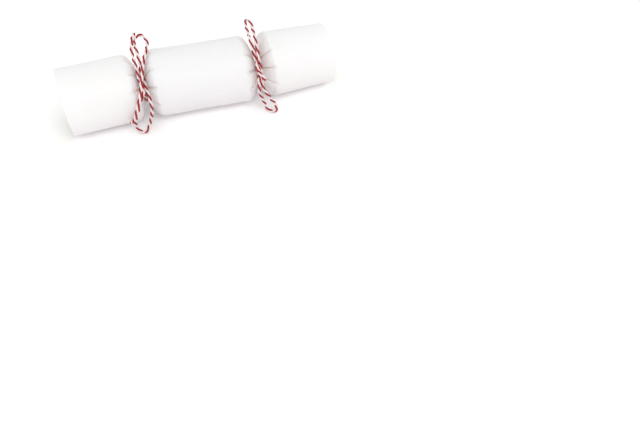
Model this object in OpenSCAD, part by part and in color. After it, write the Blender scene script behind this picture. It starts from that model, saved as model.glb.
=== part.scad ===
// Christmas cracker made from one laser-cut card blank and two pieces of twine.
// The rolled card forms a barrel and two open end tubes. Eleven leaves of card at each
// side of each neck fold in to the twine, and thin bridges between them tear when pulled.
// The two end tubes stand a few degrees out of line with the barrel, in opposite senses.

/* [Card body] */
// Outside diameter of the rolled tubes
tube_d = 50; // [40:1:70]
// Thickness of the card
card_t = 0.45; // [0.3:0.05:0.7]
// Length of the barrel between its two creases
barrel_len = 72; // [60:1:120]
// Length of each end tube from its crease to its rim
end_len = 50; // [30:1:90]
// Width of the glued overlap along the seam
seam_w = 25; // [8:1:30]
// How far each end tube turns out of line at its neck, in degrees
end_turn = 5.5; // [0:0.5:6]
// How much narrower the right end tube is rolled at its rim, measured across
right_rim_draw = 3.4; // [0:0.2:6]

/* [Necks] */
// Distance between the two creases of a neck
neck_gap = 14.5; // [13:0.5:18]
// Outside diameter of the card at the twine
neck_d = 19.7; // [17:0.1:22]
// Radius of the rounded shoulder at each crease
shoulder_r = 5.7; // [4:0.1:7]
// Width of the card bridge that holds a leaf to the one across the neck
bridge_w = 2.3; // [1.5:0.1:3]
// Gap where the bridges tear
tear_gap = 0.3; // [0.2:0.1:0.6]
// Gap at a crease between a tube and its leaves
crease_gap = 0.3; // [0.2:0.1:0.5]
// Gap between two leaves where their slit starts at the crease
slit_start_w = 0.4; // [0.3:0.1:0.8]

/* [Twine] */
// Diameter of the twine
twine_d = 2.1; // [1.6:0.1:2.1]

/* [Snap] */
// Width of the snap's card strips
strip_w = 8; // [5:0.5:9]
// Thickness of the snap's card strips
strip_t = 0.4; // [0.3:0.05:0.6]
// How far each strip runs past the middle of the barrel
strip_overlap = 22; // [12:1:26]
// How far each strip stops short of its rim
strip_inset = 4; // [1:1:10]
// Space between the two strips, which holds the charge and the striking patch
strip_gap = 0.5; // [0.4:0.05:0.8]
// Length of the paper sleeve round the two strips
sleeve_len = 50; // [30:1:56]
// Thickness of the sleeve's paper
sleeve_t = 0.15; // [0.1:0.05:0.3]
// Length of the charge dab
charge_len = 6; // [3:1:10]
// Width of the charge dab and of the striking patch
charge_w = 5; // [3:0.5:5]
// Thickness of the charge dab
charge_t = 0.2; // [0.1:0.05:0.25]
// Length of the striking patch
striker_len = 12; // [6:1:16]
// Thickness of the striking patch
striker_t = 0.1; // [0.05:0.05:0.12]

/* [Filling] */
// Length of the folded paper crown along the barrel
crown_len = 34; // [24:1:36]
// Width of the folded paper crown
crown_w = 27; // [20:1:30]
// Thickness of one fold of the crown's tissue
crown_fold_t = 0.6; // [0.4:0.1:0.8]
// Number of folds in the crown
crown_folds = 6; // [3:1:7]
// Length of the motto slip
motto_len = 28; // [20:1:32]
// Width of the motto slip
motto_w = 16; // [10:1:20]
// Thickness of the motto slip
motto_t = 0.3; // [0.2:0.1:0.5]
// Diameter of the spinning top's disc
top_d = 14; // [10:1:14]
// Thickness of the spinning top's disc
top_disc_t = 3; // [2:0.5:4]
// Height of the spinning top's point below its disc
top_point_h = 6; // [5:0.5:7]
// Diameter of the spinning top's stem
top_stem_d = 2.6; // [2:0.1:3]
// Height of the spinning top's stem above its disc
top_stem_h = 8; // [5:0.5:9]

/* [Hidden] */

// Number of leaves round each neck; each leaf of the barrel has a node of its own
leaf_count = 11;
// Directions of the first leaf, seen from each neck with the barrel on its left
right_leaf_start = 1.5;
left_leaf_start = 15;

// Radii and slopes of the card
tube_r = tube_d / 2;
neck_r = neck_d / 2;
bore_r = tube_r - card_t;
cone_slope = atan2(tube_r - neck_r, neck_gap / 2);
tip_slope = 40;
lip_turn = cone_slope / 2;

// The straight wall of a tube stops short of the crease, where the shoulder turns in.
// The score line lies halfway round the shoulder: the tube has the first half, a leaf the rest.
shoulder_len = shoulder_r * tan(cone_slope / 2);
lip_len = shoulder_r * sin(lip_turn);
lip_r = tube_r - shoulder_r * (1 - cos(lip_turn));
shoulder_x = neck_gap / 2 + shoulder_len;
lip_x = shoulder_x - lip_len;
neck_x = (barrel_len + neck_gap) / 2;
barrel_wall = barrel_len - 2 * shoulder_len;
end_wall = end_len - shoulder_len;
rim_x = neck_gap / 2 + end_len;
right_rim_r = tube_r - right_rim_draw / 2;

// How a tube stands at its neck: its turn sideways and its dip, in degrees. The right end
// tube is rolled tighter at its rim, and dips until its underside lies along the table.
barrel_pose = [0, 0];
left_end_pose = [end_turn, 0];
right_end_pose = [end_turn, atan2(tube_r - right_rim_r, end_wall)];

// The seam runs along the underside at the back
seam_to = -30;
seam_angle = seam_w / tube_r * 180 / PI;
seam_from = seam_to - seam_angle;

// How closely loose pieces lie on what carries them, and how far cuts overrun
rest_gap = 0.3;
overrun = 1;

// Leaf mesh: points across and along a leaf, and how far its crease and tip hold their slope
leaf_across = 4;
leaf_along = 7;
crease_hold_share = 0.28;
tip_hold_share = 0.23;
slope_step_share = 0.01;
turn_step = 0.5;

// Snap, which lies along the bottom of both necks
throat_r = neck_r - card_t;
sleeve_w = strip_w + 2 * rest_gap + 2 * sleeve_t;
sleeve_z = tube_r - sqrt(throat_r * throat_r - sleeve_w * sleeve_w / 4) + rest_gap;
left_strip_z = sleeve_z + sleeve_t;
right_strip_z = left_strip_z + strip_t + strip_gap;
sleeve_top_z = right_strip_z + strip_t + rest_gap;
strip_reach = neck_x + rim_x - strip_inset;

// Filling, which lies on the barrel's floor below the snap
floor_r = bore_r - card_t;
crown_z = tube_r - sqrt(floor_r * floor_r - crown_w * crown_w / 4) + rest_gap;
crown_air = 0.2;
crown_h = crown_folds * crown_fold_t + (crown_folds - 1) * crown_air;
crown_end = -barrel_wall / 2 + rest_gap + overrun;
crown_mid = crown_end + crown_len / 2;
motto_z = crown_z + crown_h + rest_gap;
top_point_r = 0.6;
top_tilt = atan2(top_point_h, top_d / 2 - top_point_r);
top_start = crown_end + crown_len + top_d / 2;

// Twine. Each route runs from one tail's end through the knot, round a loop, once round
// the neck and round the other loop to the other tail. Its points are along the cracker
// from the neck, up over its back, and out towards the bow's face, which leans back.
bow_face = 53;
twine_sides = 8;
wrap_lift = 2.05;
wrap_from = 58;
wrap_to = 302;
wrap_steps = 11;
gap_samples = 4;

left_before_wrap = [
    [1.8, 34.3, 16], [0.4, 30.8, 17.8], [-1, 27, 18.6], [-1.8, 23.4, 18.6], [-2.2, 19.6, 19],
    [-2, 16, 19.6], [-1.6, 11, 19.8], [-1.3, 6.5, 19.6], [-1.1, 2, 20.2], [-0.6, -2.5, 20.8],
    [-0.1, -6.5, 21.6], [0.2, -9.5, 22.2], [-0.9, -12.7, 22.6], [-3.3, -16.3, 21.7],
    [-5.5, -20.5, 19.6], [-8.4, -24.9, 15.5], [-10.6, -27.6, 8.1], [-11, -29.6, 1.4],
    [-10.1, -32, -2.6], [-8, -33.9, -3.3], [-5.4, -33.8, -3.4], [-3.4, -32.2, -3.2],
    [-1.6, -29.8, -1], [-0.4, -28, 2], [1.2, -26, 7], [2.4, -24, 12], [3.3, -20.3, 17],
    [3.4, -15.6, 21], [2.8, -11.5, 20.8], [2.3, -8, 19.3], [2, -4.5, 17.7],
    [1.8, -1, 16.3], [1.2, 3, 14.4], [0.5, 7, 11.8]
];
left_after_wrap = [
    [-0.1, -9.2, 10.2], [-0.6, -6.4, 13.6], [-1, -3, 16.6], [-0.5, 1, 17.6], [0.6, 4.5, 17.6],
    [1.4, 8, 18.2], [1.8, 12, 19.4], [1.6, 16.4, 20], [1.1, 21.8, 18.4],
    [0.6, 26.8, 15.4], [1.2, 31, 13.2], [4.4, 34, 11], [7.8, 32.3, 12], [9.6, 28, 14],
    [9.3, 24.3, 16], [8.2, 20.6, 18.4], [6, 15.4, 20.6], [4.6, 11.8, 21.2], [3.4, 8, 21.8],
    [2.4, 4, 22.6], [1.1, -0.5, 23.8], [-0.2, -5, 24.8], [-1.3, -9, 25.2], [-2.4, -13.5, 25.9],
    [-4.4, -18.1, 25.5], [-7, -22.8, 22.1], [-9.6, -26.6, 17.8], [-11.7, -28, 12.9],
    [-13.8, -28.2, 7.3]
];
right_before_wrap = [
    [-3.7, 17.5, 23.6], [-3.3, 13.5, 24], [-2.9, 9, 23], [-2.4, 4.5, 21.8],
    [-2, 0, 20.8], [-1.4, -4.5, 21.2], [-1, -9, 22.4], [-2, -13.4, 22.2],
    [-3.2, -17.8, 20.4], [-3.2, -22.8, 15.4], [-1.8, -26.2, 9.4], [-0.1, -28.6, 4],
    [1.2, -30.8, 0], [2.7, -33.4, -2.2], [5.1, -35.8, -2.2], [7.6, -36.2, -1.8],
    [9.3, -34.7, -1.4], [9, -32.2, 0.6], [7.2, -30, 3.8], [5.1, -27.6, 7.4],
    [3.2, -25.6, 10.8], [1.4, -23.2, 13.6], [0, -20.4, 15.8], [-0.4, -17, 17.2],
    [-0.1, -13, 18], [0.4, -9, 18], [0.9, -5, 17.4], [1.2, -1, 16.4], [0.9, 3, 14.8],
    [0.4, 7, 11.9]
];
right_after_wrap = [
    [-0.2, -9.4, 10.2], [-1, -6.6, 13.4], [-1.6, -3.2, 16], [-1.4, 0.8, 17.6],
    [-0.9, 4.6, 18.4], [-1.2, 8, 19.2], [-1.9, 11.4, 20], [-2.8, 15, 21],
    [-3.3, 19, 20.2], [-3.2, 23.5, 17.2], [-3.2, 27.5, 14.6], [-2.9, 30.2, 12.8],
    [-2.3, 32.1, 12], [-0.8, 33.1, 11.7], [0.7, 32.3, 11.9], [1.4, 30.4, 12.6],
    [1.4, 27.8, 13.9], [1, 24, 16.6], [0.9, 20, 19.6], [0.8, 16.4, 21.6], [0.7, 12, 22],
    [0.7, 8, 22], [0.5, 4, 22.6], [-0.6, -0.5, 23.6], [-2.2, -5, 24.6], [-2.6, -9, 25.2],
    [-0.6, -13, 25], [1.8, -16.8, 23.4]
];

// Places. A neck's own frame has its centre at the origin and the barrel towards -X;
// the left neck is the same frame turned half way round.
module at_right_neck() { translate([neck_x, 0, tube_r]) children(); }
module at_left_neck() { translate([-neck_x, 0, tube_r]) rotate([0, 0, 180]) children(); }
module along_x() { rotate([90, 0, 90]) children(); }

// Rolled card. A wall starts at its own outside radius and ends at the tube's.
module straight_wall(wall_len, start_r, inset, thick) {
    polygon([[start_r - inset - thick, 0], [start_r - inset, 0], [tube_r - inset, wall_len],
        [tube_r - inset - thick, wall_len]]);
}

module card_wall(wall_len, lips, start_r) {
    straight_wall(wall_len, start_r, 0, card_t);
    translate([0, wall_len]) lip_section();
    if (lips > 1) mirror([0, 1]) lip_section();
}

module lip_section() {
    arc_r = tube_r - shoulder_r;
    translate([arc_r, 0]) intersection() {
        difference() {
            circle(r = shoulder_r, $fn = 96);
            circle(r = shoulder_r - card_t, $fn = 96);
        }
        polygon([[0, 0], [tube_r, 0], [tube_r * cos(lip_turn), tube_r * sin(lip_turn)]]);
    }
}

module rolled_tube(wall_len, lips, start_r) {
    rotate_extrude($fn = 144) card_wall(wall_len, lips, start_r);
    rotate([0, 0, seam_from]) rotate_extrude(angle = seam_angle, $fn = 144)
        straight_wall(wall_len, start_r, card_t / 2, card_t * 3 / 2);
}

module barrel_tube() {
    color("whitesmoke") translate([-barrel_wall / 2, 0, tube_r]) along_x()
        rolled_tube(barrel_wall, 2, tube_r);
}

// A tube that dips is lifted until its underside lies level with the barrel's
function lift(pose) = shoulder_x * sin(pose[1]) - tube_r * (1 - cos(pose[1]));

// An end tube stands with its lip at the neck and its rim away from the barrel
module end_tube(pose, rim_r, seam_side) {
    translate([0, 0, lift(pose)]) rotate([0, pose[1], pose[0]]) translate([rim_x, 0, 0])
        mirror([1, 0, 0]) along_x() mirror([seam_side, 0, 0])
            rolled_tube(end_wall, 1, rim_r);
}

module left_end_tube() {
    color("whitesmoke") at_left_neck() end_tube(left_end_pose, tube_r, 1);
}

module right_end_tube() {
    color("whitesmoke") at_right_neck() end_tube(right_end_pose, right_rim_r, 0);
}

// Leaves. A leaf follows a curve from the crease to the torn bridge at the neck.
function around(a) = [0, cos(a), sin(a)];
function dipped(p, a) = [p.x * cos(a) + p.z * sin(a), p.y, p.z * cos(a) - p.x * sin(a)];
function turned(p, a) = [p.x * cos(a) - p.y * sin(a), p.x * sin(a) + p.y * cos(a), p.z];
function posed(p, pose) = turned(dipped(p, pose[1]), pose[0]);
function unit(v) = v / norm(v);
function bezier(p, v) = pow(1 - v, 3) * p[0] + 3 * v * pow(1 - v, 2) * p[1]
    + 3 * v * v * (1 - v) * p[2] + pow(v, 3) * p[3];
function crease_slope(a, side, pose) = posed([-side * cos(lip_turn), 0, 0]
    - sin(lip_turn) * around(a), pose);
function crease_point(a, side, pose) = [0, 0, lift(pose)]
    + posed([side * lip_x, 0, 0] + lip_r * around(a), pose)
    + crease_gap * crease_slope(a, side, pose);
function tip_slant(a, side) = [side * cos(tip_slope), 0, 0] + sin(tip_slope) * around(a);
function tip_point(a, side) = [side * tear_gap / 2, 0, 0] + neck_r * around(a);
function leaf_line(a, side, pose) = let (
        crease = crease_point(a, side, pose),
        tip = tip_point(a, side),
        len = norm(tip - crease))
    [
        crease,
        crease + crease_hold_share * len * crease_slope(a, side, pose),
        tip + tip_hold_share * len * tip_slant(a, side),
        tip
    ];
function leaf_at(a, v, side, pose) = bezier(leaf_line(a, side, pose), v);
function leaf_inward(a, v, side, pose) = -side * unit(cross(
    leaf_at(a, v + slope_step_share, side, pose) - leaf_at(a, v - slope_step_share, side, pose),
    leaf_at(a + turn_step, v, side, pose) - leaf_at(a - turn_step, v, side, pose)));
function spread(v) = let (
        at_crease = PI * lip_r / leaf_count - slit_start_w / 2,
        half_w = at_crease + (bridge_w / 2 - at_crease) * v)
    asin(half_w / leaf_at(0, v, -1, barrel_pose).y);
function leaf_points(a, side, pose) = [
    for (layer = [0, 1]) for (j = [0 : leaf_along]) for (i = [0 : leaf_across])
        let (v = j / leaf_along, here = a + (2 * i / leaf_across - 1) * spread(v))
        leaf_at(here, v, side, pose) + layer * card_t * leaf_inward(here, v, side, pose)
];
function leaf_index(layer, j, i) = (layer * (leaf_along + 1) + j) * (leaf_across + 1) + i;
function two_triangles(q) = [[q[0], q[1], q[2]], [q[0], q[2], q[3]]];
function leaf_quads() = concat(
    [for (layer = [0, 1]) for (j = [0 : leaf_along - 1]) for (i = [0 : leaf_across - 1])
        let (q = [leaf_index(layer, j, i), leaf_index(layer, j, i + 1),
            leaf_index(layer, j + 1, i + 1), leaf_index(layer, j + 1, i)])
        layer == 0 ? q : [q[3], q[2], q[1], q[0]]],
    [for (end = [0, 1]) for (i = [0 : leaf_across - 1])
        let (j = end * leaf_along, q = [leaf_index(0, j, i), leaf_index(1, j, i),
            leaf_index(1, j, i + 1), leaf_index(0, j, i + 1)])
        end == 0 ? q : [q[3], q[2], q[1], q[0]]],
    [for (edge = [0, 1]) for (j = [0 : leaf_along - 1])
        let (i = edge * leaf_across, q = [leaf_index(0, j, i), leaf_index(0, j + 1, i),
            leaf_index(1, j + 1, i), leaf_index(1, j, i)])
        edge == 0 ? q : [q[3], q[2], q[1], q[0]]]
);
function reversed(f) = [f[2], f[1], f[0]];

module leaf(a, side, pose) {
    triangles = [for (q = leaf_quads()) each two_triangles(q)];
    polyhedron(points = leaf_points(a, side, pose),
        faces = side > 0 ? [for (f = triangles) reversed(f)] : triangles, convexity = 4);
}

module barrel_leaf(start, i) {
    color("white") leaf(start + (i - 1) * 360 / leaf_count, -1, barrel_pose);
}

module end_leaves(start, pose) {
    for (i = [0 : leaf_count - 1]) color("white") leaf(start + i * 360 / leaf_count, 1, pose);
}

module barrel_left_leaf(i) { at_left_neck() barrel_leaf(left_leaf_start, i); }
module barrel_right_leaf(i) { at_right_neck() barrel_leaf(right_leaf_start, i); }
module left_end_leaves() { at_left_neck() end_leaves(left_leaf_start, left_end_pose); }
module right_end_leaves() { at_right_neck() end_leaves(right_leaf_start, right_end_pose); }

// Twine
bow_up = [0, sin(bow_face), cos(bow_face)];
bow_out = [0, -cos(bow_face), sin(bow_face)];
wrap_r = neck_r + wrap_lift;

function tie_route(centre, before, after) = concat(
    [for (p = before) centre + [p.x, 0, 0] + p.y * bow_up + p.z * bow_out],
    [for (i = [0 : wrap_steps]) let (a = wrap_from + (wrap_to - wrap_from) * i / wrap_steps)
        centre + wrap_r * (sin(a) * bow_up + cos(a) * bow_out)],
    [for (p = after) centre + [p.x, 0, 0] + p.y * bow_up + p.z * bow_out]
);
function heading(p, i) = unit(p[min(i + 1, len(p) - 1)] - p[max(i - 1, 0)]);
function square_to(v, t) = unit(v - (v * t) * t);
function carried(p, i, v) = i == len(p) ? []
    : let (n = square_to(v, heading(p, i))) concat([n], carried(p, i + 1, n));
function tube_faces(rings, sides) = concat(
    [for (i = [0 : rings - 2]) for (k = [0 : sides - 1])
        let (n = (k + 1) % sides)
        each two_triangles([i * sides + k, i * sides + n, (i + 1) * sides + n,
            (i + 1) * sides + k])],
    [for (k = [1 : sides - 2]) [0, k + 1, k]],
    [for (k = [1 : sides - 2]) let (o = (rings - 1) * sides) [o, o + k, o + k + 1]]
);

module twine(route) {
    normals = carried(route, 0, [1, 0, 0]);
    rings = [for (i = [0 : len(route) - 1]) let (n = normals[i],
            b = cross(heading(route, i), n))
        for (k = [0 : twine_sides - 1]) let (a = 360 * k / twine_sides)
            route[i] + twine_d / 2 * (cos(a) * n + sin(a) * b)];
    polyhedron(points = rings, convexity = 10,
        faces = [for (f = tube_faces(len(route), twine_sides)) reversed(f)]);
    samples = [for (i = [0 : len(route) - 2]) for (k = [0 : gap_samples - 1])
        route[i] + (route[i + 1] - route[i]) * k / gap_samples];
    along = [for (i = 0, s = 0; i < len(samples); s = s + (i + 1 < len(samples)
        ? norm(samples[i + 1] - samples[i]) : 0), i = i + 1) s];
    gaps = [for (i = [0 : len(samples) - 1]) for (j = [i + 1 : len(samples) - 1])
        if (along[j] - along[i] > 4 * twine_d) norm(samples[j] - samples[i]) - twine_d];
    echo(twine_length = along[len(along) - 1], least_gap_to_itself = min(gaps));
}

module left_tie() {
    color("crimson") twine(tie_route([-neck_x, 0, tube_r], left_before_wrap,
        left_after_wrap));
}

module right_tie() {
    color("crimson") twine(tie_route([neck_x, 0, tube_r], right_before_wrap,
        right_after_wrap));
}

// Snap: two card strips that meet in a paper sleeve, one with the charge and one that
// strikes it. The sleeve is glued to the underside of the left strip.
module snap_left_strip() {
    color("burlywood") translate([-strip_reach, -strip_w / 2, left_strip_z])
        cube([strip_reach + strip_overlap, strip_w, strip_t]);
}

module snap_right_strip() {
    color("tan") translate([-strip_overlap, -strip_w / 2, right_strip_z])
        cube([strip_reach + strip_overlap, strip_w, strip_t]);
}

module snap_sleeve() {
    inner_w = sleeve_w - 2 * sleeve_t;
    inner_h = sleeve_top_z - left_strip_z;
    color("ivory") difference() {
        translate([-sleeve_len / 2, -sleeve_w / 2, sleeve_z])
            cube([sleeve_len, sleeve_w, inner_h + 2 * sleeve_t]);
        translate([-sleeve_len / 2 - overrun, -inner_w / 2, left_strip_z])
            cube([sleeve_len + 2 * overrun, inner_w, inner_h]);
    }
}

module snap_charge() {
    color("silver") translate([-charge_len / 2, -charge_w / 2, left_strip_z + strip_t])
        cube([charge_len, charge_w, charge_t]);
}

module snap_striker() {
    color("dimgray") translate([-striker_len / 2, -charge_w / 2, right_strip_z - striker_t])
        cube([striker_len, charge_w, striker_t]);
}

// Filling
module paper_crown() {
    step = crown_fold_t + crown_air;
    color("tomato") translate([crown_mid - crown_len / 2, 0, crown_z]) along_x()
        linear_extrude(crown_len) {
            for (i = [0 : crown_folds - 1])
                translate([-crown_w / 2, i * step]) square([crown_w, crown_fold_t]);
            for (i = [0 : crown_folds - 2])
                translate([i % 2 == 0 ? crown_w / 2 - crown_fold_t : -crown_w / 2, i * step])
                    square([crown_fold_t, step + crown_fold_t]);
        }
}

module motto_slip() {
    color("ivory") translate([crown_mid - motto_len / 2, 0, motto_z]) along_x()
        linear_extrude(motto_len) {
            for (i = [0, 1]) translate([-motto_w / 2, 2 * i * motto_t])
                square([motto_w, motto_t]);
            translate([-motto_w / 2, 0]) square([motto_t, 3 * motto_t]);
        }
}

module gift_top() {
    color("peru") translate([top_start, 0, card_t + card_t + rest_gap])
        rotate([0, top_tilt, 0]) translate([-top_point_r, 0, 0])
            rotate_extrude($fn = 96) polygon([
                [0, 0], [top_point_r, 0], [top_d / 2, top_point_h],
                [top_d / 2, top_point_h + top_disc_t],
                [top_stem_d / 2, top_point_h + top_disc_t],
                [top_stem_d / 2, top_point_h + top_disc_t + top_stem_h],
                [0, top_point_h + top_disc_t + top_stem_h]
            ]);
}

barrel_tube();
paper_crown();
motto_slip();
gift_top();
barrel_left_leaf(1);  // barrel_left_leaf_01
barrel_left_leaf(2);  // barrel_left_leaf_02
barrel_left_leaf(3);  // barrel_left_leaf_03
barrel_left_leaf(4);  // barrel_left_leaf_04
barrel_left_leaf(5);  // barrel_left_leaf_05
barrel_left_leaf(6);  // barrel_left_leaf_06
barrel_left_leaf(7);  // barrel_left_leaf_07
barrel_left_leaf(8);  // barrel_left_leaf_08
barrel_left_leaf(9);  // barrel_left_leaf_09
barrel_left_leaf(10);  // barrel_left_leaf_10
barrel_left_leaf(11);  // barrel_left_leaf_11
barrel_right_leaf(1);  // barrel_right_leaf_01
barrel_right_leaf(2);  // barrel_right_leaf_02
barrel_right_leaf(3);  // barrel_right_leaf_03
barrel_right_leaf(4);  // barrel_right_leaf_04
barrel_right_leaf(5);  // barrel_right_leaf_05
barrel_right_leaf(6);  // barrel_right_leaf_06
barrel_right_leaf(7);  // barrel_right_leaf_07
barrel_right_leaf(8);  // barrel_right_leaf_08
barrel_right_leaf(9);  // barrel_right_leaf_09
barrel_right_leaf(10);  // barrel_right_leaf_10
barrel_right_leaf(11);  // barrel_right_leaf_11
left_end_tube();
left_end_leaves();
left_tie();
snap_left_strip();
snap_sleeve();
snap_charge();
right_end_tube();
right_end_leaves();
right_tie();
snap_right_strip();
snap_striker();
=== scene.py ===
# Christmas cracker: a rolled white card with a barrel, two open end tubes and necks of folded
# leaves, each neck tied with a bow of red and white twine, and a snap and filling inside.
import math

import bmesh
import bpy
from mathutils import Euler, Matrix, Vector, noise


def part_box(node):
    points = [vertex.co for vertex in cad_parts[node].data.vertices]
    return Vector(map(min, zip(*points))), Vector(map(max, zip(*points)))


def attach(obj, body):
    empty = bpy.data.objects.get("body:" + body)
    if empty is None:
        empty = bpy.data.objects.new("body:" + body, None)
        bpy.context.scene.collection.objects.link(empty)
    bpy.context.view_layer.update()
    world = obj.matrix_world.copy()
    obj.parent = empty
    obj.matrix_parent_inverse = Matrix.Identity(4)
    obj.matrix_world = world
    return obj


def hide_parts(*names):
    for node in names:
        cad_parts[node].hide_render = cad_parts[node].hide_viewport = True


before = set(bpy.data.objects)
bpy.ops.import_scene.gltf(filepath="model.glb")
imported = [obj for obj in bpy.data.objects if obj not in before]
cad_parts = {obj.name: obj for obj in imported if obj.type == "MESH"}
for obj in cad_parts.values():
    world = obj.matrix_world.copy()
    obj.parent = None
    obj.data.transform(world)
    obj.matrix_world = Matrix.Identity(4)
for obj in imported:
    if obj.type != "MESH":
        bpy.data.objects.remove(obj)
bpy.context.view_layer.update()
MM = 0.001

# Barrel
# The middle of one laser-cut blank of folding box board, rolled up and glued along a seam.
# Its coated face is satin white, its uncoated back is cream, and the laser browns its edges.
# Rounded shoulders at both ends turn in to the creases, where the leaves begin.
card_t = 0.45 * MM
tube_r = 25 * MM
barrel_len = 72 * MM
neck_gap = 14.5 * MM
neck_r = 9.85 * MM
shoulder_r = 5.7 * MM
seam_w = 25 * MM
neck_x = (barrel_len + neck_gap) / 2
lip_turn = math.atan2(tube_r - neck_r, neck_gap / 2) / 2
shoulder_len = shoulder_r * math.tan(lip_turn)
lip_x = neck_gap / 2 + shoulder_len - shoulder_r * math.sin(lip_turn)
lip_r = tube_r - shoulder_r * (1 - math.cos(lip_turn))
barrel_half = barrel_len / 2 - shoulder_len

# Between two slits the fold line runs nearly straight, so it pulls the crease a little flat
leaf_count = 11
leaf_pitch = math.tau / leaf_count
first_leaf = {-1: math.radians(165), 1: math.radians(1.5)}
slit_start_w = 0.12 * MM
root_half_w = math.pi * lip_r / leaf_count - slit_start_w / 2
crease_flatness = 0.3
crease_sag = crease_flatness * root_half_w ** 2 / (2 * lip_r)

# The slits start at the wall, closed at first, and run nearly straight to the bridges, in
# valleys between the leaves
slit_fall = (tube_r - neck_r) / (neck_gap / 2 + shoulder_len)
slit_depth_share = 0.65
valley_power = 5
leaf_steps = 36
turn_step = leaf_pitch / leaf_steps
hairline = 0.15


def linear(code):
    """An sRGB hex colour as linear red, green, blue and alpha."""
    parts = [int(code[i:i + 2], 16) / 255 for i in (1, 3, 5)]
    return [p / 12.92 if p <= 0.04045 else ((p + 0.055) / 1.055) ** 2.4
            for p in parts] + [1.0]


def add_node(tree, kind, inputs=None, **settings):
    """Adds a node; inputs gives each socket its value, or the output that feeds it."""
    made = tree.nodes.new(kind)
    for key, value in settings.items():
        setattr(made, key, value)
    for key, value in (inputs or {}).items():
        if isinstance(value, bpy.types.NodeSocket):
            tree.links.new(value, made.inputs[key])
        else:
            made.inputs[key].default_value = value
    return made


def finish(name, roughness, low, high, grain, bump, detail=4.0, stretch=(1, 1, 1),
           vector=None, contrast=(0.35, 0.65), singed=None, **fixed):
    """A material whose colour clouds from low to high over patches of about grain, and whose
    surface rises and falls by bump with them. stretch shrinks the pattern along each axis, and
    vector names an attribute that the pattern follows in place of the object's own space.
    singed is the colour that it has where the attribute "scorch" is 1."""
    made = bpy.data.materials.new(name)
    made.use_nodes = True
    tree = made.node_tree
    shader = tree.nodes["Principled BSDF"]
    shader.inputs["Roughness"].default_value = roughness
    for key, value in fixed.items():
        shader.inputs[key.replace("_", " ")].default_value = value
    if vector:
        place = add_node(tree, "ShaderNodeAttribute", attribute_name=vector)
        place = place.outputs["Vector"]
    else:
        place = add_node(tree, "ShaderNodeTexCoord").outputs["Object"]
    scaled = add_node(tree, "ShaderNodeMapping", {"Vector": place, "Scale": stretch})
    pattern = add_node(tree, "ShaderNodeTexNoise", {
        "Vector": scaled.outputs[0], "Scale": 1 / grain, "Detail": detail})
    ramp = add_node(tree, "ShaderNodeValToRGB", {"Fac": pattern.outputs["Fac"]})
    for stop, position, colour in zip(ramp.color_ramp.elements, contrast, (low, high)):
        stop.position = position
        stop.color = linear(colour)
    colour = ramp.outputs["Color"]
    if singed:
        scorch = add_node(tree, "ShaderNodeAttribute", attribute_name="scorch").outputs["Fac"]
        colour = add_node(tree, "ShaderNodeMixRGB", {
            "Fac": scorch, "Color1": colour, "Color2": linear(singed)}).outputs[0]
    tree.links.new(colour, shader.inputs["Base Color"])
    rise = add_node(tree, "ShaderNodeBump", {
        "Height": pattern.outputs["Fac"], "Distance": bump})
    tree.links.new(rise.outputs["Normal"], shader.inputs["Normal"])
    return made


# Light soaks into card and comes out a little way off, which lightens its folds
soak = dict(Subsurface_Weight=1.0, Subsurface_Scale=0.5 * MM,
            Subsurface_Radius=(1.0, 1.0, 1.0))
# Clay-coated board: a smooth satin white, faintly cloudy from the fibres below the clay, and
# singed tan along the slits by the laser
card_face = finish("coated_board_face", 0.55, "#FEFAFB", "#FEFCFD", 2.5 * MM, 0.01 * MM,
                   singed="#E2C79A", **soak)
# Uncoated back: warm white, matt and a little fibrous
card_back = finish("uncoated_board_back", 0.85, "#F8F0E2", "#FCF6EC", 0.9 * MM, 0.02 * MM,
                   singed="#C9A46A", **soak)
# Laser-cut edge: tan, with darker scorched patches
card_edge = finish("laser_cut_edge", 0.8, "#D6B47C", "#EBD5A8", 1.2 * MM, 0.02 * MM, **soak)


def lay_card(maker, face_rows, back_rows):
    """Adds a closed sheet of card between two grids of points. Its coated face gets material
    0, its back gets 1 and its four cut edges get 2."""
    face = [[maker.verts.new(point) for point in row] for row in face_rows]
    back = [[maker.verts.new(point) for point in row] for row in back_rows]
    rows, columns = len(face) - 1, len(face[0]) - 1
    for i in range(rows):
        for j in range(columns):
            for side, grid in enumerate((face, back)):
                maker.faces.new((grid[i][j], grid[i + 1][j], grid[i + 1][j + 1],
                                 grid[i][j + 1])).material_index = side
        for j in (0, columns):
            maker.faces.new((face[i][j], face[i + 1][j], back[i + 1][j],
                             back[i][j])).material_index = 2
    for j in range(columns):
        for i in (0, rows):
            maker.faces.new((face[i][j], face[i][j + 1], back[i][j + 1],
                             back[i][j])).material_index = 2


def as_mesh(maker, name, finishes, crisp=math.radians(38)):
    """Closes a bmesh as a mesh with its faces outwards, smooth but for its crisp edges."""
    bmesh.ops.recalc_face_normals(maker, faces=maker.faces)
    mesh = bpy.data.meshes.new(name)
    maker.to_mesh(mesh)
    maker.free()
    for material in finishes:
        mesh.materials.append(material)
    mesh.shade_smooth()
    mesh.set_sharp_from_angle(angle=crisp)
    return mesh


def add_piece(name, mesh, body, slot, *nodes):
    """Links a finished mesh at the origin, on its body and in place of its CAD nodes."""
    made = bpy.data.objects.new(name, mesh)
    bpy.context.scene.collection.objects.link(made)
    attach(made, body)
    if nodes:
        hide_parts(*nodes)
    return made


def ease(x):
    """A smooth step from 0 to 1."""
    x = min(max(x, 0), 1)
    return x * x * (3 - 2 * x)


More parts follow.
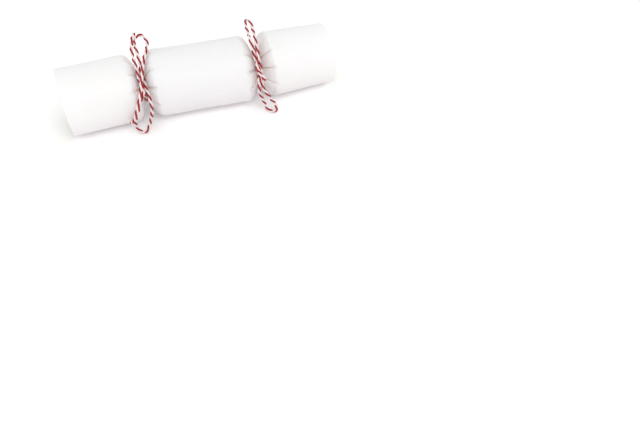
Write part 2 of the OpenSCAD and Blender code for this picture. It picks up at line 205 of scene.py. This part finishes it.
# The sheet starts as a flap inside the tube and ends at a free edge over it, underneath and
# at the back. The flap is cut back where the shoulders turn in.
free_edge_steps, tucked_steps = 35, 4
free_edge = first_leaf[1] - free_edge_steps * turn_step
flap_edge = free_edge - seam_w / tube_r
tucked_turn = tucked_steps * turn_step
rise_turn = math.radians(14)
flap_gap = 0.04 * MM
flap_depth = card_t + flap_gap
flap_steps, shoulder_steps, wall_steps = 26, 10, 16
out_of_round = 0.12 * MM


def shoulder_rows(wall_end, side, outward):
    """The rows from the wall to a crease, each as place along the tube, radius, slope, the
    neck's side and how far the row follows the flattened crease."""
    slopes = [lip_turn * i / shoulder_steps for i in range(1, shoulder_steps + 1)]
    return [(wall_end + outward * shoulder_r * math.sin(slope),
             tube_r - shoulder_r * (1 - math.cos(slope)), outward * slope, side,
             ease(slope / lip_turn)) for slope in slopes]


def wall_rows(start, end, end_r=tube_r):
    """The rows of the straight wall, in the same terms, out to a radius at its end."""
    return [(start + (end - start) * i / wall_steps,
             tube_r + (end_r - tube_r) * i / wall_steps, 0, 1, 0)
            for i in range(wall_steps + 1)]


def slit_drop(slope):
    """How deep below the rounded shoulder a slit lies where the shoulder has a slope."""
    return slit_depth_share * shoulder_r * (slit_fall * math.sin(slope) - 1 + math.cos(slope))


def across_leaf(angle, side):
    """Where an angle falls on its leaf, from 0 at the middle to 1 at a slit."""
    return abs(((angle - first_leaf[side]) / leaf_pitch + 0.5) % 1 * 2 - 1)


def rolled_card(name, rows, place):
    """The mesh of a tube of rolled card. place puts a point, given by its distance along the
    tube, radius and angle, in the cracker."""
    maker = bmesh.new()
    mid_x = (rows[0][0] + rows[-1][0]) / 2
    reach = (rows[-1][0] - rows[0][0]) / 2
    burns = []

    def roll(first, last, steps, its_rows, depth):
        """Lays card from one angle to another, sunk below its place by depth(angle)."""
        face_rows, back_rows, burn = [], [], []
        for i in range(steps + 1):
            angle = first + (last - first) * i / steps
            sunk = depth(angle)
            face_row, back_row = [], []
            for x, r, slope, side, hold in its_rows:
                bow = out_of_round * (1 - ((x - mid_x) / reach) ** 2) * (1 - hold)
                across = across_leaf(angle, side)
                r -= sunk + bow * (1 + math.sin(2 * angle)) \
                    + hold * crease_sag * (1 - across ** 2) \
                    + slit_drop(abs(slope)) * across ** valley_power
                burn.append(hairline * hold if across > 1 - 1 / leaf_steps else 0)
                face_row.append(place(x, r, angle))
                back_row.append(place(x - card_t * math.sin(slope),
                                      r - card_t * math.cos(slope), angle))
            face_rows.append(face_row)
            back_rows.append(back_row)
        lay_card(maker, face_rows, back_rows)
        burns.extend(burn * 2)

    roll(free_edge - tucked_turn, free_edge + math.tau,
         round((math.tau + tucked_turn) / turn_step), rows,
         lambda angle: flap_depth * (1 - ease((angle - free_edge) / rise_turn)))
    roll(flap_edge, free_edge - tucked_turn, flap_steps,
         [row for row in rows if not row[2]], lambda angle: flap_depth)
    mesh = as_mesh(maker, name, (card_face, card_back, card_edge))
    mesh.attributes.new("scorch", "FLOAT", "POINT").data.foreach_set("value", burns)
    return mesh


barrel_mesh = rolled_card(
    "barrel_card",
    shoulder_rows(-barrel_half, -1, -1)[::-1] + wall_rows(-barrel_half, barrel_half)
    + shoulder_rows(barrel_half, 1, 1),
    lambda x, r, angle: (x, r * math.cos(angle), tube_r + r * math.sin(angle)))
add_piece("barrel_card", barrel_mesh, "barrel", "white_card", "barrel_tube")

# End tubes
# The two ends of the same blank, left open, with a plain laser cut for a rim. Each stands a
# few degrees out of line, because the neck is soft. The right one is rolled tighter at its
# rim and dips until its underside lies on the table, which lifts its crease a little.
end_len = 50 * MM
end_turn = math.radians(5.5)
end_wall_x = neck_gap / 2 + shoulder_len
rim_x = neck_gap / 2 + end_len
right_rim_draw = 1.7 * MM
rim_r = {-1: tube_r, 1: tube_r - right_rim_draw}
end_dip = {side: math.atan2(tube_r - r, rim_x - end_wall_x) for side, r in rim_r.items()}
end_lift = {side: end_wall_x * math.sin(dip) - tube_r * (1 - math.cos(dip))
            for side, dip in end_dip.items()}

for side, end in ((-1, "left"), (1, "right")):
    neck = Vector((side * neck_x, 0, tube_r + end_lift[side]))
    stance = Euler((0, end_dip[side], end_turn)).to_matrix()
    mesh = rolled_card(
        end + "_end_card",
        shoulder_rows(end_wall_x, side, -1)[::-1] + wall_rows(end_wall_x, rim_x, rim_r[side]),
        lambda x, r, angle: neck + stance @ Vector(
            (side * x, r * math.cos(angle), r * math.sin(angle))))
    add_piece(end + "_end_card", mesh, end + "_end", "white_card", end + "_end_tube")

# Leaves
# At each neck the blank is cut by eleven slits. The card between two slits folds in from its
# crease as a leaf that narrows to a thin bridge, where it meets the leaf across the neck.
bridge_w = 2.3 * MM
tear_gap = 0.1 * MM
tip_slope = math.radians(40)
leaf_reach = math.hypot(lip_x - tear_gap / 2, lip_r - neck_r)
crease_hold_share, tip_hold_share = 0.28, 0.23
crease_hold = crease_hold_share * leaf_reach
tip_hold = tip_hold_share * leaf_reach
leaf_across, leaf_along = 16, 20
scorch_w = 0.6 * MM
scorch_rise = 1.6
taper_power = 5
slope_step = 0.01

# How much of its share of the circle a leaf fills at its tip; at its crease it fills it all
tip_fill = bridge_w / (neck_r * leaf_pitch - slit_start_w)

leaf_spine = [
    Vector((lip_x, lip_r - crease_sag)),
    Vector((lip_x - crease_hold * math.cos(lip_turn),
            lip_r - crease_sag - crease_hold * math.sin(lip_turn))),
    Vector((tear_gap / 2 + tip_hold * math.cos(tip_slope),
            neck_r + tip_hold * math.sin(tip_slope))),
    Vector((tear_gap / 2, neck_r))]


def shares(v):
    """How much of each of the spine's four points there is at v, from crease to tip."""
    u = 1 - v
    return u ** 3, 3 * u * u * v, 3 * u * v * v, v ** 3


def spine_at(v):
    """The point of a leaf's middle line at v, along the cracker and out from its axis."""
    return sum((point * share for point, share in zip(leaf_spine, shares(v))), Vector((0, 0)))


def leaf_blank(side):
    """One leaf that folds from the card on the left (-1) or right (1) of its neck, pointing
    away from the viewer. It is round all the way, like the tube at its crease and like the
    neck at its tip, but for the valleys along its slits. Each point keeps its share of the
    crease in hold, and that share's own place in held."""
    face_rows, back_rows = [], []
    slit_start = Vector((lip_x, lip_r - slit_drop(lip_turn)))
    for j in range(leaf_along + 1):
        v = j / leaf_along
        x, r = spine_at(v)
        slit_x, slit_r = slit_start * (1 - v) + leaf_spine[3] * v
        run = (spine_at(v + slope_step) - spine_at(v - slope_step)).normalized()
        half = (leaf_pitch / 2 - slit_start_w / 2 / slit_r)
        half *= 1 - (1 - tip_fill) * v ** taper_power
        clear = 1 - scorch_w / (slit_r * half)
        face_row, back_row = [], []
        for across in (-1, *(clear * (2 * i / (leaf_across - 2) - 1)
                             for i in range(leaf_across - 1)), 1):
            valley = abs(across) ** valley_power
            here_r = r + (slit_r - r) * valley + crease_sag * (1 - v) * (across ** 2 - valley)
            turned = Matrix.Rotation(half * across, 3, "X") @ Vector((0, here_r, 0))
            point = turned + Vector((side * (x + (slit_x - x) * valley), 0, 0))
            face_row.append(point)
            back_row.append(point + card_t * Vector((-side * run.y, run.x, 0)))
        face_rows.append(face_row)
        back_rows.append(back_row)
    maker = bmesh.new()
    lay_card(maker, face_rows, back_rows)
    mesh = as_mesh(maker, "leaf_blank", ())
    for key, kind in (("hold", "FLOAT"), ("held", "FLOAT_VECTOR"), ("scorch", "FLOAT")):
        mesh.attributes.new(key, kind, "POINT")
    hold, held, scorch = (mesh.attributes[key].data for key in ("hold", "held", "scorch"))
    for k, vertex in enumerate(mesh.vertices):
        v = k // (leaf_across + 1) % (leaf_along + 1) / leaf_along
        share = sum(shares(v)[:2])
        crease = leaf_spine[0] * shares(v)[0] + leaf_spine[1] * shares(v)[1]
        spine = spine_at(v)
        aside = vertex.co - Vector((side * spine.x, spine.y, 0))
        if k % (leaf_across + 1) in (0, leaf_across):
            scorch[k].value = hairline + (1 - hairline) * ease(scorch_rise * v)
        hold[k].value = share
        held[k].vector = Vector((side * crease.x, crease.y, 0)) + aside * share
    for n, part in enumerate(("back", "edge"), 1):
        marked = mesh.attributes.new(part, "BOOLEAN", "FACE")
        for polygon in mesh.polygons:
            marked.data[polygon.index].value = polygon.material_index == n
    return mesh


def new_tree(name, **inputs):
    """A Geometry Nodes tree with named inputs; returns it and its inputs' outputs."""
    tree = bpy.data.node_groups.new(name, "GeometryNodeTree")
    tree.interface.new_socket("Geometry", in_out="OUTPUT", socket_type="NodeSocketGeometry")
    tree.interface.new_socket("Geometry", in_out="INPUT", socket_type="NodeSocketGeometry")
    for key, kind in inputs.items():
        tree.interface.new_socket(key, in_out="INPUT", socket_type="NodeSocket" + kind)
    return tree, add_node(tree, "NodeGroupInput").outputs


def grown(tree, seed, values):
    """Runs a tree once on a seed mesh and returns the result as a plain mesh."""
    carrier = bpy.data.objects.new(seed.name, seed)
    bpy.context.scene.collection.objects.link(carrier)
    modifier = carrier.modifiers.new(tree.name, "NODES")
    modifier.node_group = tree
    for item in tree.interface.items_tree:
        if item.in_out == "INPUT" and item.name in values:
            modifier[item.identifier] = values[item.name]
    graph = bpy.context.evaluated_depsgraph_get()
    mesh = bpy.data.meshes.new_from_object(carrier.evaluated_get(graph), depsgraph=graph)
    carrier.modifiers.remove(modifier)
    bpy.data.objects.remove(carrier)
    return mesh


# The tree sets copies of the blank round the neck, and moves what each holds of its crease
# with its tube
tree, given = new_tree("leaf_ring", count="Int", pitch="Float", start="Float",
                       stance="Vector", lift="Vector", neck="Vector")
points = add_node(tree, "GeometryNodeMeshLine", {"Count": given["count"], "Offset": (0, 0, 0)})
number = add_node(tree, "GeometryNodeInputIndex").outputs[0]
angle = add_node(tree, "ShaderNodeMath", {0: number, 1: given["pitch"], 2: given["start"]},
                 operation="MULTIPLY_ADD").outputs[0]
spots = add_node(tree, "GeometryNodeStoreNamedAttribute", {
    "Geometry": points.outputs[0], "Name": "round", "Value": angle}, data_type="FLOAT")
leaves = add_node(tree, "GeometryNodeInstanceOnPoints", {
    "Points": spots.outputs[0], "Instance": given["Geometry"],
    "Rotation": add_node(tree, "ShaderNodeCombineXYZ", {"X": angle}).outputs[0]})
real = add_node(tree, "GeometryNodeRealizeInstances", {"Geometry": leaves.outputs[0]})
held = add_node(tree, "ShaderNodeVectorRotate", {
    "Vector": add_node(tree, "GeometryNodeInputNamedAttribute", {"Name": "held"},
                       data_type="FLOAT_VECTOR").outputs[0],
    "Angle": add_node(tree, "GeometryNodeInputNamedAttribute", {"Name": "round"},
                      data_type="FLOAT").outputs[0]}, rotation_type="X_AXIS")
swung = add_node(tree, "ShaderNodeVectorRotate", {
    "Vector": held.outputs[0], "Rotation": given["stance"]}, rotation_type="EULER_XYZ")
swing = add_node(tree, "ShaderNodeVectorMath", {0: swung.outputs[0], 1: held.outputs[0]},
                 operation="SUBTRACT")
raised = add_node(tree, "ShaderNodeVectorMath", {
    0: given["lift"], "Scale": add_node(tree, "GeometryNodeInputNamedAttribute", {
        "Name": "hold"}, data_type="FLOAT").outputs[0]}, operation="SCALE")
shift = add_node(tree, "ShaderNodeVectorMath", {0: swing.outputs[0], 1: raised.outputs[0]},
                 operation="ADD")
placed = add_node(tree, "ShaderNodeVectorMath", {0: shift.outputs[0], 1: given["neck"]},
                  operation="ADD")
shape = add_node(tree, "GeometryNodeSetPosition", {
    "Geometry": real.outputs[0], "Offset": placed.outputs[0]}).outputs[0]
for part, material in (("", card_face), ("back", card_back), ("edge", card_edge)):
    inputs = {"Geometry": shape, "Material": material}
    if part:
        inputs["Selection"] = add_node(tree, "GeometryNodeInputNamedAttribute",
                                       {"Name": part}, data_type="BOOLEAN").outputs[0]
    shape = add_node(tree, "GeometryNodeSetMaterial", inputs).outputs[0]
add_node(tree, "NodeGroupOutput", {0: shape})

for side, neck in ((-1, "left"), (1, "right")):
    values = {"pitch": side * leaf_pitch, "neck": (side * neck_x, 0, tube_r)}
    for i in range(leaf_count):
        leaf = "%s_leaf_%02d" % (neck, i + 1)
        mesh = grown(tree, leaf_blank(-side), dict(
            values, count=1, start=first_leaf[side] + side * i * leaf_pitch))
        add_piece(leaf + "_card", mesh, leaf, "white_card", "barrel_" + leaf)
    mesh = grown(tree, leaf_blank(side), dict(
        values, count=leaf_count, start=first_leaf[side], lift=(0, 0, end_lift[side]),
        stance=(0, end_dip[side], end_turn)))
    add_piece(neck + "_end_leaf_cards", mesh, neck + "_end", "white_card",
              neck + "_end_leaves")

# Twine bows
# Two-ply cotton baker's twine, one ply deep red and one white, twisted together and tied
# round each neck in a flat bow.
twine_lay = 8.5 * MM
ply_r = 0.71 * MM
yarn_lay = 3.4 * MM
ply_aside_share = 0.83
hair_lift_share = 0.45
fibre_draw = 0.12
root_seed, spin_seed, size_seed = 5, 11, 17
hair_lean = (-0.9, 0.1)
hair_sizes = (0.5, 1.3)
bow_face = math.radians(53)
bow_up = Vector((0, math.sin(bow_face), math.cos(bow_face)))
bow_out = Vector((0, -math.cos(bow_face), math.sin(bow_face)))
wrap_lift = 2.05 * MM
wrap_r = neck_r + wrap_lift
wrap_from, wrap_to = math.radians(58), math.radians(302)
wrap_steps = 11

# A route runs from one cut end through the knot, round a loop, once round the neck and round
# the other loop to the other cut end. Its points are along the cracker from the neck, up over
# its back, and out towards the bow's face, which leans back.
left_before_wrap = [
    (1.8, 34.3, 16), (0.4, 30.8, 17.8), (-1, 27, 18.6), (-1.8, 23.4, 18.6), (-2.2, 19.6, 19),
    (-2, 16, 19.6), (-1.6, 11, 19.8), (-1.3, 6.5, 19.6), (-1.1, 2, 20.2), (-0.6, -2.5, 20.8),
    (-0.1, -6.5, 21.6), (0.2, -9.5, 22.2), (-0.9, -12.7, 22.6), (-3.3, -16.3, 21.7),
    (-5.5, -20.5, 19.6), (-8.4, -24.9, 15.5), (-10.6, -27.6, 8.1), (-11, -29.6, 1.4),
    (-10.1, -32, -2.6), (-8, -33.9, -3.3), (-5.4, -33.8, -3.4), (-3.4, -32.2, -3.2),
    (-1.6, -29.8, -1), (-0.4, -28, 2), (1.2, -26, 7), (2.4, -24, 12), (3.3, -20.3, 17),
    (3.4, -15.6, 21), (2.8, -11.5, 20.8), (2.3, -8, 19.3), (2, -4.5, 17.7),
    (1.8, -1, 16.3), (1.2, 3, 14.4), (0.5, 7, 11.8)
]
left_after_wrap = [
    (-0.1, -9.2, 10.2), (-0.6, -6.4, 13.6), (-1, -3, 16.6), (-0.5, 1, 17.6), (0.6, 4.5, 17.6),
    (1.4, 8, 18.2), (1.8, 12, 19.4), (1.6, 16.4, 20), (1.1, 21.8, 18.4),
    (0.6, 26.8, 15.4), (1.2, 31, 13.2), (4.4, 34, 11), (7.8, 32.3, 12), (9.6, 28, 14),
    (9.3, 24.3, 16), (8.2, 20.6, 18.4), (6, 15.4, 20.6), (4.6, 11.8, 21.2), (3.4, 8, 21.8),
    (2.4, 4, 22.6), (1.1, -0.5, 23.8), (-0.2, -5, 24.8), (-1.3, -9, 25.2), (-2.4, -13.5, 25.9),
    (-4.4, -18.1, 25.5), (-7, -22.8, 22.1), (-9.6, -26.6, 17.8), (-11.7, -28, 12.9),
    (-13.8, -28.2, 7.3)
]
right_before_wrap = [
    (-3.7, 17.5, 23.6), (-3.3, 13.5, 24), (-2.9, 9, 23), (-2.4, 4.5, 21.8),
    (-2, 0, 20.8), (-1.4, -4.5, 21.2), (-1, -9, 22.4), (-2, -13.4, 22.2),
    (-3.2, -17.8, 20.4), (-3.2, -22.8, 15.4), (-1.8, -26.2, 9.4), (-0.1, -28.6, 4),
    (1.2, -30.8, 0), (2.7, -33.4, -2.2), (5.1, -35.8, -2.2), (7.6, -36.2, -1.8),
    (9.3, -34.7, -1.4), (9, -32.2, 0.6), (7.2, -30, 3.8), (5.1, -27.6, 7.4),
    (3.2, -25.6, 10.8), (1.4, -23.2, 13.6), (0, -20.4, 15.8), (-0.4, -17, 17.2),
    (-0.1, -13, 18), (0.4, -9, 18), (0.9, -5, 17.4), (1.2, -1, 16.4), (0.9, 3, 14.8),
    (0.4, 7, 11.9)
]
right_after_wrap = [
    (-0.2, -9.4, 10.2), (-1, -6.6, 13.4), (-1.6, -3.2, 16), (-1.4, 0.8, 17.6),
    (-0.9, 4.6, 18.4), (-1.2, 8, 19.2), (-1.9, 11.4, 20), (-2.8, 15, 21),
    (-3.3, 19, 20.2), (-3.2, 23.5, 17.2), (-3.2, 27.5, 14.6), (-2.9, 30.2, 12.8),
    (-2.3, 32.1, 12), (-0.8, 33.1, 11.7), (0.7, 32.3, 11.9), (1.4, 30.4, 12.6),
    (1.4, 27.8, 13.9), (1, 24, 16.6), (0.9, 20, 19.6), (0.8, 16.4, 21.6), (0.7, 12, 22),
    (0.7, 8, 22), (0.5, 4, 22.6), (-0.6, -0.5, 23.6), (-2.2, -5, 24.6), (-2.6, -9, 25.2),
    (-0.6, -13, 25), (1.8, -16.8, 23.4)
]


def tie_route(side, before, after):
    """One twine's route, from cut end to cut end, in the cracker's own place."""
    neck = Vector((side * neck_x, 0, tube_r))
    turns = [wrap_from + (wrap_to - wrap_from) * i / wrap_steps for i in range(wrap_steps + 1)]
    strands = [[neck + (Vector((x, 0, 0)) + up * bow_up + out * bow_out) * MM
                for x, up, out in points] for points in (before, after)]
    wrap = [neck + wrap_r * (math.sin(a) * bow_up + math.cos(a) * bow_out) for a in turns]
    return strands[0] + wrap + strands[1]


# Cotton yarn: matt and soft, with fibres that run round each ply and stand off as a fine fuzz
yarn_red = finish("cotton_yarn_red", 0.9, "#860A14", "#B01C27", 0.35 * MM, 0.12 * MM,
                  vector="fibre", Sheen_Weight=0.2, Sheen_Roughness=0.5)
yarn_white = finish("cotton_yarn_white", 0.9, "#F0DEDD", "#FDF5F4", 0.35 * MM, 0.12 * MM,
                    vector="fibre", Sheen_Weight=0.2, Sheen_Roughness=0.5)

# The tree smooths the route, twists two plies round it, scatters hairs over each ply and
# keeps them above the table
tree, given = new_tree("twisted_twine", ply_radius="Float", lay="Float", yarn_lay="Float",
                       step="Float", hair_length="Float", hair_radius="Float",
                       hairs_per_area="Float")
line = add_node(tree, "GeometryNodeMeshToCurve", {"Mesh": given["Geometry"]})
smooth = add_node(tree, "GeometryNodeCurveSplineType", {"Curve": line.outputs[0]},
                  spline_type="CATMULL_ROM")
fine = add_node(tree, "GeometryNodeResampleCurve", {
    "Curve": smooth.outputs[0], "Length": given["step"]}, mode="LENGTH")
along = add_node(tree, "GeometryNodeSplineParameter").outputs["Length"]
lays = add_node(tree, "ShaderNodeMath", {0: along, 1: given["lay"]}, operation="DIVIDE")
twist = add_node(tree, "ShaderNodeMath", {0: lays.outputs[0], 1: -math.tau},
                 operation="MULTIPLY")
twisted = add_node(tree, "GeometryNodeSetCurveTilt", {
    "Curve": fine.outputs[0], "Tilt": twist.outputs[0]})
marked = add_node(tree, "GeometryNodeStoreNamedAttribute", {
    "Geometry": twisted.outputs[0], "Name": "along", "Value": along}, data_type="FLOAT")
ring = add_node(tree, "GeometryNodeCurvePrimitiveCircle", {
    "Resolution": 10, "Radius": given["ply_radius"]})
ring = add_node(tree, "GeometryNodeStoreNamedAttribute", {
    "Geometry": ring.outputs[0], "Name": "ring",
    "Value": add_node(tree, "GeometryNodeInputPosition").outputs[0]},
    data_type="FLOAT_VECTOR")
hair_end = add_node(tree, "ShaderNodeCombineXYZ", {"X": given["hair_length"]})
hair_bend = add_node(tree, "ShaderNodeVectorMath", {0: hair_end.outputs[0], 1: (0.5, 0, 0)},
                     operation="MULTIPLY")
hair_lift = add_node(tree, "ShaderNodeCombineXYZ", {
    "Z": add_node(tree, "ShaderNodeMath", {0: given["hair_length"], 1: hair_lift_share},
                  operation="MULTIPLY").outputs[0]})
hair_mid = add_node(tree, "ShaderNodeVectorMath", {
    0: hair_bend.outputs[0], 1: hair_lift.outputs[0]}, operation="ADD")
hair_line = add_node(tree, "GeometryNodeCurveQuadraticBezier", {
    "Resolution": 4, "Start": (0, 0, 0), "Middle": hair_mid.outputs[0],
    "End": hair_end.outputs[0]})
hair = add_node(tree, "GeometryNodeCurveToMesh", {
    "Curve": hair_line.outputs[0],
    "Profile Curve": add_node(tree, "GeometryNodeCurvePrimitiveCircle", {
        "Resolution": 3, "Radius": given["hair_radius"]}).outputs[0]})
both = add_node(tree, "GeometryNodeJoinGeometry")
for n, material in ((-1, yarn_red), (1, yarn_white)):
    aside = add_node(tree, "ShaderNodeMath", {0: given["ply_radius"], 1: ply_aside_share * n},
                     operation="MULTIPLY")
    moved = add_node(tree, "GeometryNodeTransform", {
        "Geometry": ring.outputs[0],
        "Translation": add_node(tree, "ShaderNodeCombineXYZ",
                                {"X": aside.outputs[0]}).outputs[0]})
    ply = add_node(tree, "GeometryNodeCurveToMesh", {
        "Curve": marked.outputs[0], "Profile Curve": moved.outputs[0], "Fill Caps": True})
    place = add_node(tree, "GeometryNodeInputNamedAttribute", {"Name": "along"},
                     data_type="FLOAT").outputs[0]
    yarns = add_node(tree, "ShaderNodeMath", {0: place, 1: given["yarn_lay"]},
                     operation="DIVIDE")
    yarn_turn = add_node(tree, "ShaderNodeMath", {0: yarns.outputs[0], 1: math.tau},
                         operation="MULTIPLY")
    unwound = add_node(tree, "ShaderNodeVectorRotate", {
        "Vector": add_node(tree, "GeometryNodeInputNamedAttribute", {"Name": "ring"},
                           data_type="FLOAT_VECTOR").outputs[0],
        "Angle": yarn_turn.outputs[0]}, rotation_type="Z_AXIS")
    drawn_out = add_node(tree, "ShaderNodeCombineXYZ", {
        "Z": add_node(tree, "ShaderNodeMath", {0: place, 1: fibre_draw},
                      operation="MULTIPLY").outputs[0]})
    fibre = add_node(tree, "ShaderNodeVectorMath", {
        0: unwound.outputs[0], 1: drawn_out.outputs[0]}, operation="ADD")
    ply = add_node(tree, "GeometryNodeStoreNamedAttribute", {
        "Geometry": ply.outputs[0], "Name": "fibre", "Value": fibre.outputs[0]},
        data_type="FLOAT_VECTOR")
    roots = add_node(tree, "GeometryNodeDistributePointsOnFaces", {
        "Mesh": ply.outputs[0], "Density": given["hairs_per_area"], "Seed": root_seed + n})
    spin = add_node(tree, "FunctionNodeRandomValue", {
        "Min": (0, hair_lean[0], 0), "Max": (0, hair_lean[1], math.tau), "Seed": spin_seed + n},
        data_type="FLOAT_VECTOR")
    size = add_node(tree, "FunctionNodeRandomValue", {
        2: hair_sizes[0], 3: hair_sizes[1], "Seed": size_seed + n}, data_type="FLOAT")
    hairs = add_node(tree, "GeometryNodeInstanceOnPoints", {
        "Points": roots.outputs["Points"], "Instance": hair.outputs[0],
        "Rotation": roots.outputs["Rotation"], "Scale": size.outputs[1]})
    hairs = add_node(tree, "GeometryNodeRotateInstances", {
        "Instances": hairs.outputs[0], "Rotation": spin.outputs[0]})
    fuzzy = add_node(tree, "GeometryNodeJoinGeometry")
    tree.links.new(ply.outputs[0], fuzzy.inputs[0])
    tree.links.new(hairs.outputs[0], fuzzy.inputs[0])
    real = add_node(tree, "GeometryNodeRealizeInstances", {"Geometry": fuzzy.outputs[0]})
    dyed = add_node(tree, "GeometryNodeSetMaterial", {
        "Geometry": real.outputs[0], "Material": material})
    tree.links.new(dyed.outputs[0], both.inputs[0])
above_table = add_node(tree, "ShaderNodeVectorMath", {
    0: add_node(tree, "GeometryNodeInputPosition").outputs[0], 1: (-1, -1, 0)},
    operation="MAXIMUM")
laid = add_node(tree, "GeometryNodeSetPosition", {
    "Geometry": both.outputs[0], "Position": above_table.outputs[0]})
add_node(tree, "NodeGroupOutput", {0: laid.outputs[0]})

for side, neck, before, after in ((-1, "left", left_before_wrap, left_after_wrap),
                                  (1, "right", right_before_wrap, right_after_wrap)):
    route = tie_route(side, before, after)
    seed = bpy.data.meshes.new(neck + "_tie_route")
    seed.from_pydata(route, [(i, i + 1) for i in range(len(route) - 1)], [])
    mesh = grown(tree, seed, {
        "ply_radius": ply_r, "lay": twine_lay, "yarn_lay": yarn_lay, "step": 0.4 * MM,
        "hair_length": 1.0 * MM, "hair_radius": 0.02 * MM, "hairs_per_area": 0.22 / MM ** 2})
    mesh.shade_smooth()
    tie = add_piece(neck + "_twine", mesh, neck + "_end", "baker_twine", neck + "_tie")

# Snap
# Two strips of buff card that overlap in a thin paper sleeve. One carries a dab of charge
# and the other a gritty patch that strikes it when the ends are pulled apart.
snap_finishes = {
    "snap_left_strip": finish("buff_strip_card", 0.8, "#C4B18A", "#D6C6A2", 1.2 * MM,
                              0.02 * MM, stretch=(0.3, 1, 1)),
    "snap_sleeve": finish("unbleached_sleeve_paper", 0.85, "#DCD3BE", "#EBE4D3", 0.9 * MM,
                          0.02 * MM),
    "snap_charge": finish("dried_charge_dab", 0.9, "#4A4A4C", "#77767A", 0.3 * MM,
                          0.05 * MM)}
snap_finishes["snap_right_strip"] = snap_finishes["snap_left_strip"]
snap_finishes["snap_striker"] = snap_finishes["snap_charge"]

# Filling
# A crown of thin red tissue folded into a flat packet, with a folded motto slip on top, and
# a small wooden top turned from beech beside it.
filling_finishes = {
    "motto_slip": finish("plain_slip_paper", 0.8, "#EEEBE0", "#F6F4EC", 1.5 * MM, 0.01 * MM),
    "gift_top": finish("turned_beech", 0.45, "#B98A55", "#D9B27C", 1.6 * MM, 0.02 * MM,
                       stretch=(0.25, 1, 1), detail=6.0)}
for node, material in (snap_finishes | filling_finishes).items():
    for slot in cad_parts[node].material_slots:
        slot.material = material

tissue_t = 0.12 * MM
tissue_folds = 12
tissue_steps = (34, 14)
wrinkle, fold_shift = 6 * MM, 20 * MM
wrinkle_share = 0.25
edge_inset_share = 0.02
fold_rise_share, fold_start_share = 0.9, 0.6
low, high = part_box("paper_crown")
tissue = finish("red_crown_tissue", 0.75, "#A81A24", "#C62B33", 3 * MM, 0.05 * MM)


def tissue_point(s, t, lift):
    """A point of the zigzag sheet: s runs over the folds and t along the packet."""
    fold = min(int(s), tissue_folds - 1)
    across = s - fold if fold % 2 == 0 else fold + 1 - s
    rise = (high.z - low.z - tissue_t) / tissue_folds
    x = low.x + (high.x - low.x) * t
    y = low.y + (high.y - low.y) * (edge_inset_share + (1 - 2 * edge_inset_share) * across)
    sway = noise.noise(Vector((x, y, fold * fold_shift)) / wrinkle) * wrinkle_share * rise
    return Vector((x, y, low.z + rise * (s * fold_rise_share + fold_start_share) + sway + lift))


maker = bmesh.new()
fold_steps = [f + k / tissue_steps[1] for f in range(tissue_folds)
              for k in range(tissue_steps[1])] + [tissue_folds]
lay_card(maker, *[[[tissue_point(s, i / tissue_steps[0], lift) for s in fold_steps]
                   for i in range(tissue_steps[0] + 1)] for lift in (0, -tissue_t)])
add_piece("folded_tissue_crown", as_mesh(maker, "folded_tissue_crown", (tissue,) * 3),
          "barrel", "crown_tissue", "paper_crown")

# Table, light and camera
# A white table under soft light from above. The table's own white comes from its colour and
# from what the camera sees of it, so that only the shadows near the cracker show.
table_half = 2.5
seen_white = (1.13, 1.15, 1.145, 1)
maker = bmesh.new()
bmesh.ops.create_grid(maker, x_segments=1, y_segments=1, size=table_half)
table_top = bpy.data.objects.new("table_top", as_mesh(maker, "table_top", ()))
bpy.context.scene.collection.objects.link(table_top)
white_top = bpy.data.materials.new("white_laminate")
white_top.use_nodes = True
tree = white_top.node_tree
shader = tree.nodes["Principled BSDF"]
shader.inputs["Base Color"].default_value = linear("#F3ECEE")
shader.inputs["Roughness"].default_value = 0.9
shader.inputs["Specular IOR Level"].default_value = 0.0
path = add_node(tree, "ShaderNodeLightPath").outputs
seen = add_node(tree, "ShaderNodeMath", {0: path["Is Camera Ray"], 1: path["Is Glossy Ray"]},
                operation="MAXIMUM")
bright = add_node(tree, "ShaderNodeBsdfDiffuse", {"Color": seen_white})
shown = add_node(tree, "ShaderNodeMixShader", {
    0: seen.outputs[0], 1: shader.outputs[0], 2: bright.outputs[0]})
tree.links.new(shown.outputs[0], tree.nodes["Material Output"].inputs["Surface"])
table_top.data.materials.append(white_top)

room = bpy.data.worlds.new("soft_white_room")
room.use_nodes = True
room.node_tree.nodes["Background"].inputs["Strength"].default_value = 0.83
room.node_tree.nodes["Background"].inputs["Color"].default_value = linear("#FFFFFF")
bpy.context.scene.world = room
softbox_place = Vector((0.08, -0.45, 0.6))
lamp = bpy.data.lights.new("key_softbox", "AREA")
lamp.shape = "DISK"
lamp.size = 0.4
lamp.energy = 1.35
softbox = bpy.data.objects.new("key_softbox", lamp)
softbox.location = softbox_place
softbox.rotation_euler = softbox_place.to_track_quat("Z", "Y").to_euler()
bpy.context.scene.collection.objects.link(softbox)

# The camera looks down on the cracker from in front and to the left, rolled by a trace
camera_data = bpy.data.cameras.new("camera")
camera_data.sensor_width = 36
camera_data.lens = 33.36
camera = bpy.data.objects.new("camera", camera_data)
camera.location = Vector((-18.49, -367.92, 326.51)) * MM
camera_pan, camera_tilt, camera_roll = map(math.radians, (-17.93, 37.09, 2.30))
look = (Matrix.Rotation(camera_pan, 3, "Z") @ Matrix.Rotation(camera_tilt, 3, "X")
        @ Matrix.Rotation(camera_roll, 3, "Z"))
camera.rotation_euler = look.to_euler()
bpy.context.scene.collection.objects.link(camera)
bpy.context.scene.camera = camera
bpy.context.scene.view_settings.view_transform = "Standard"
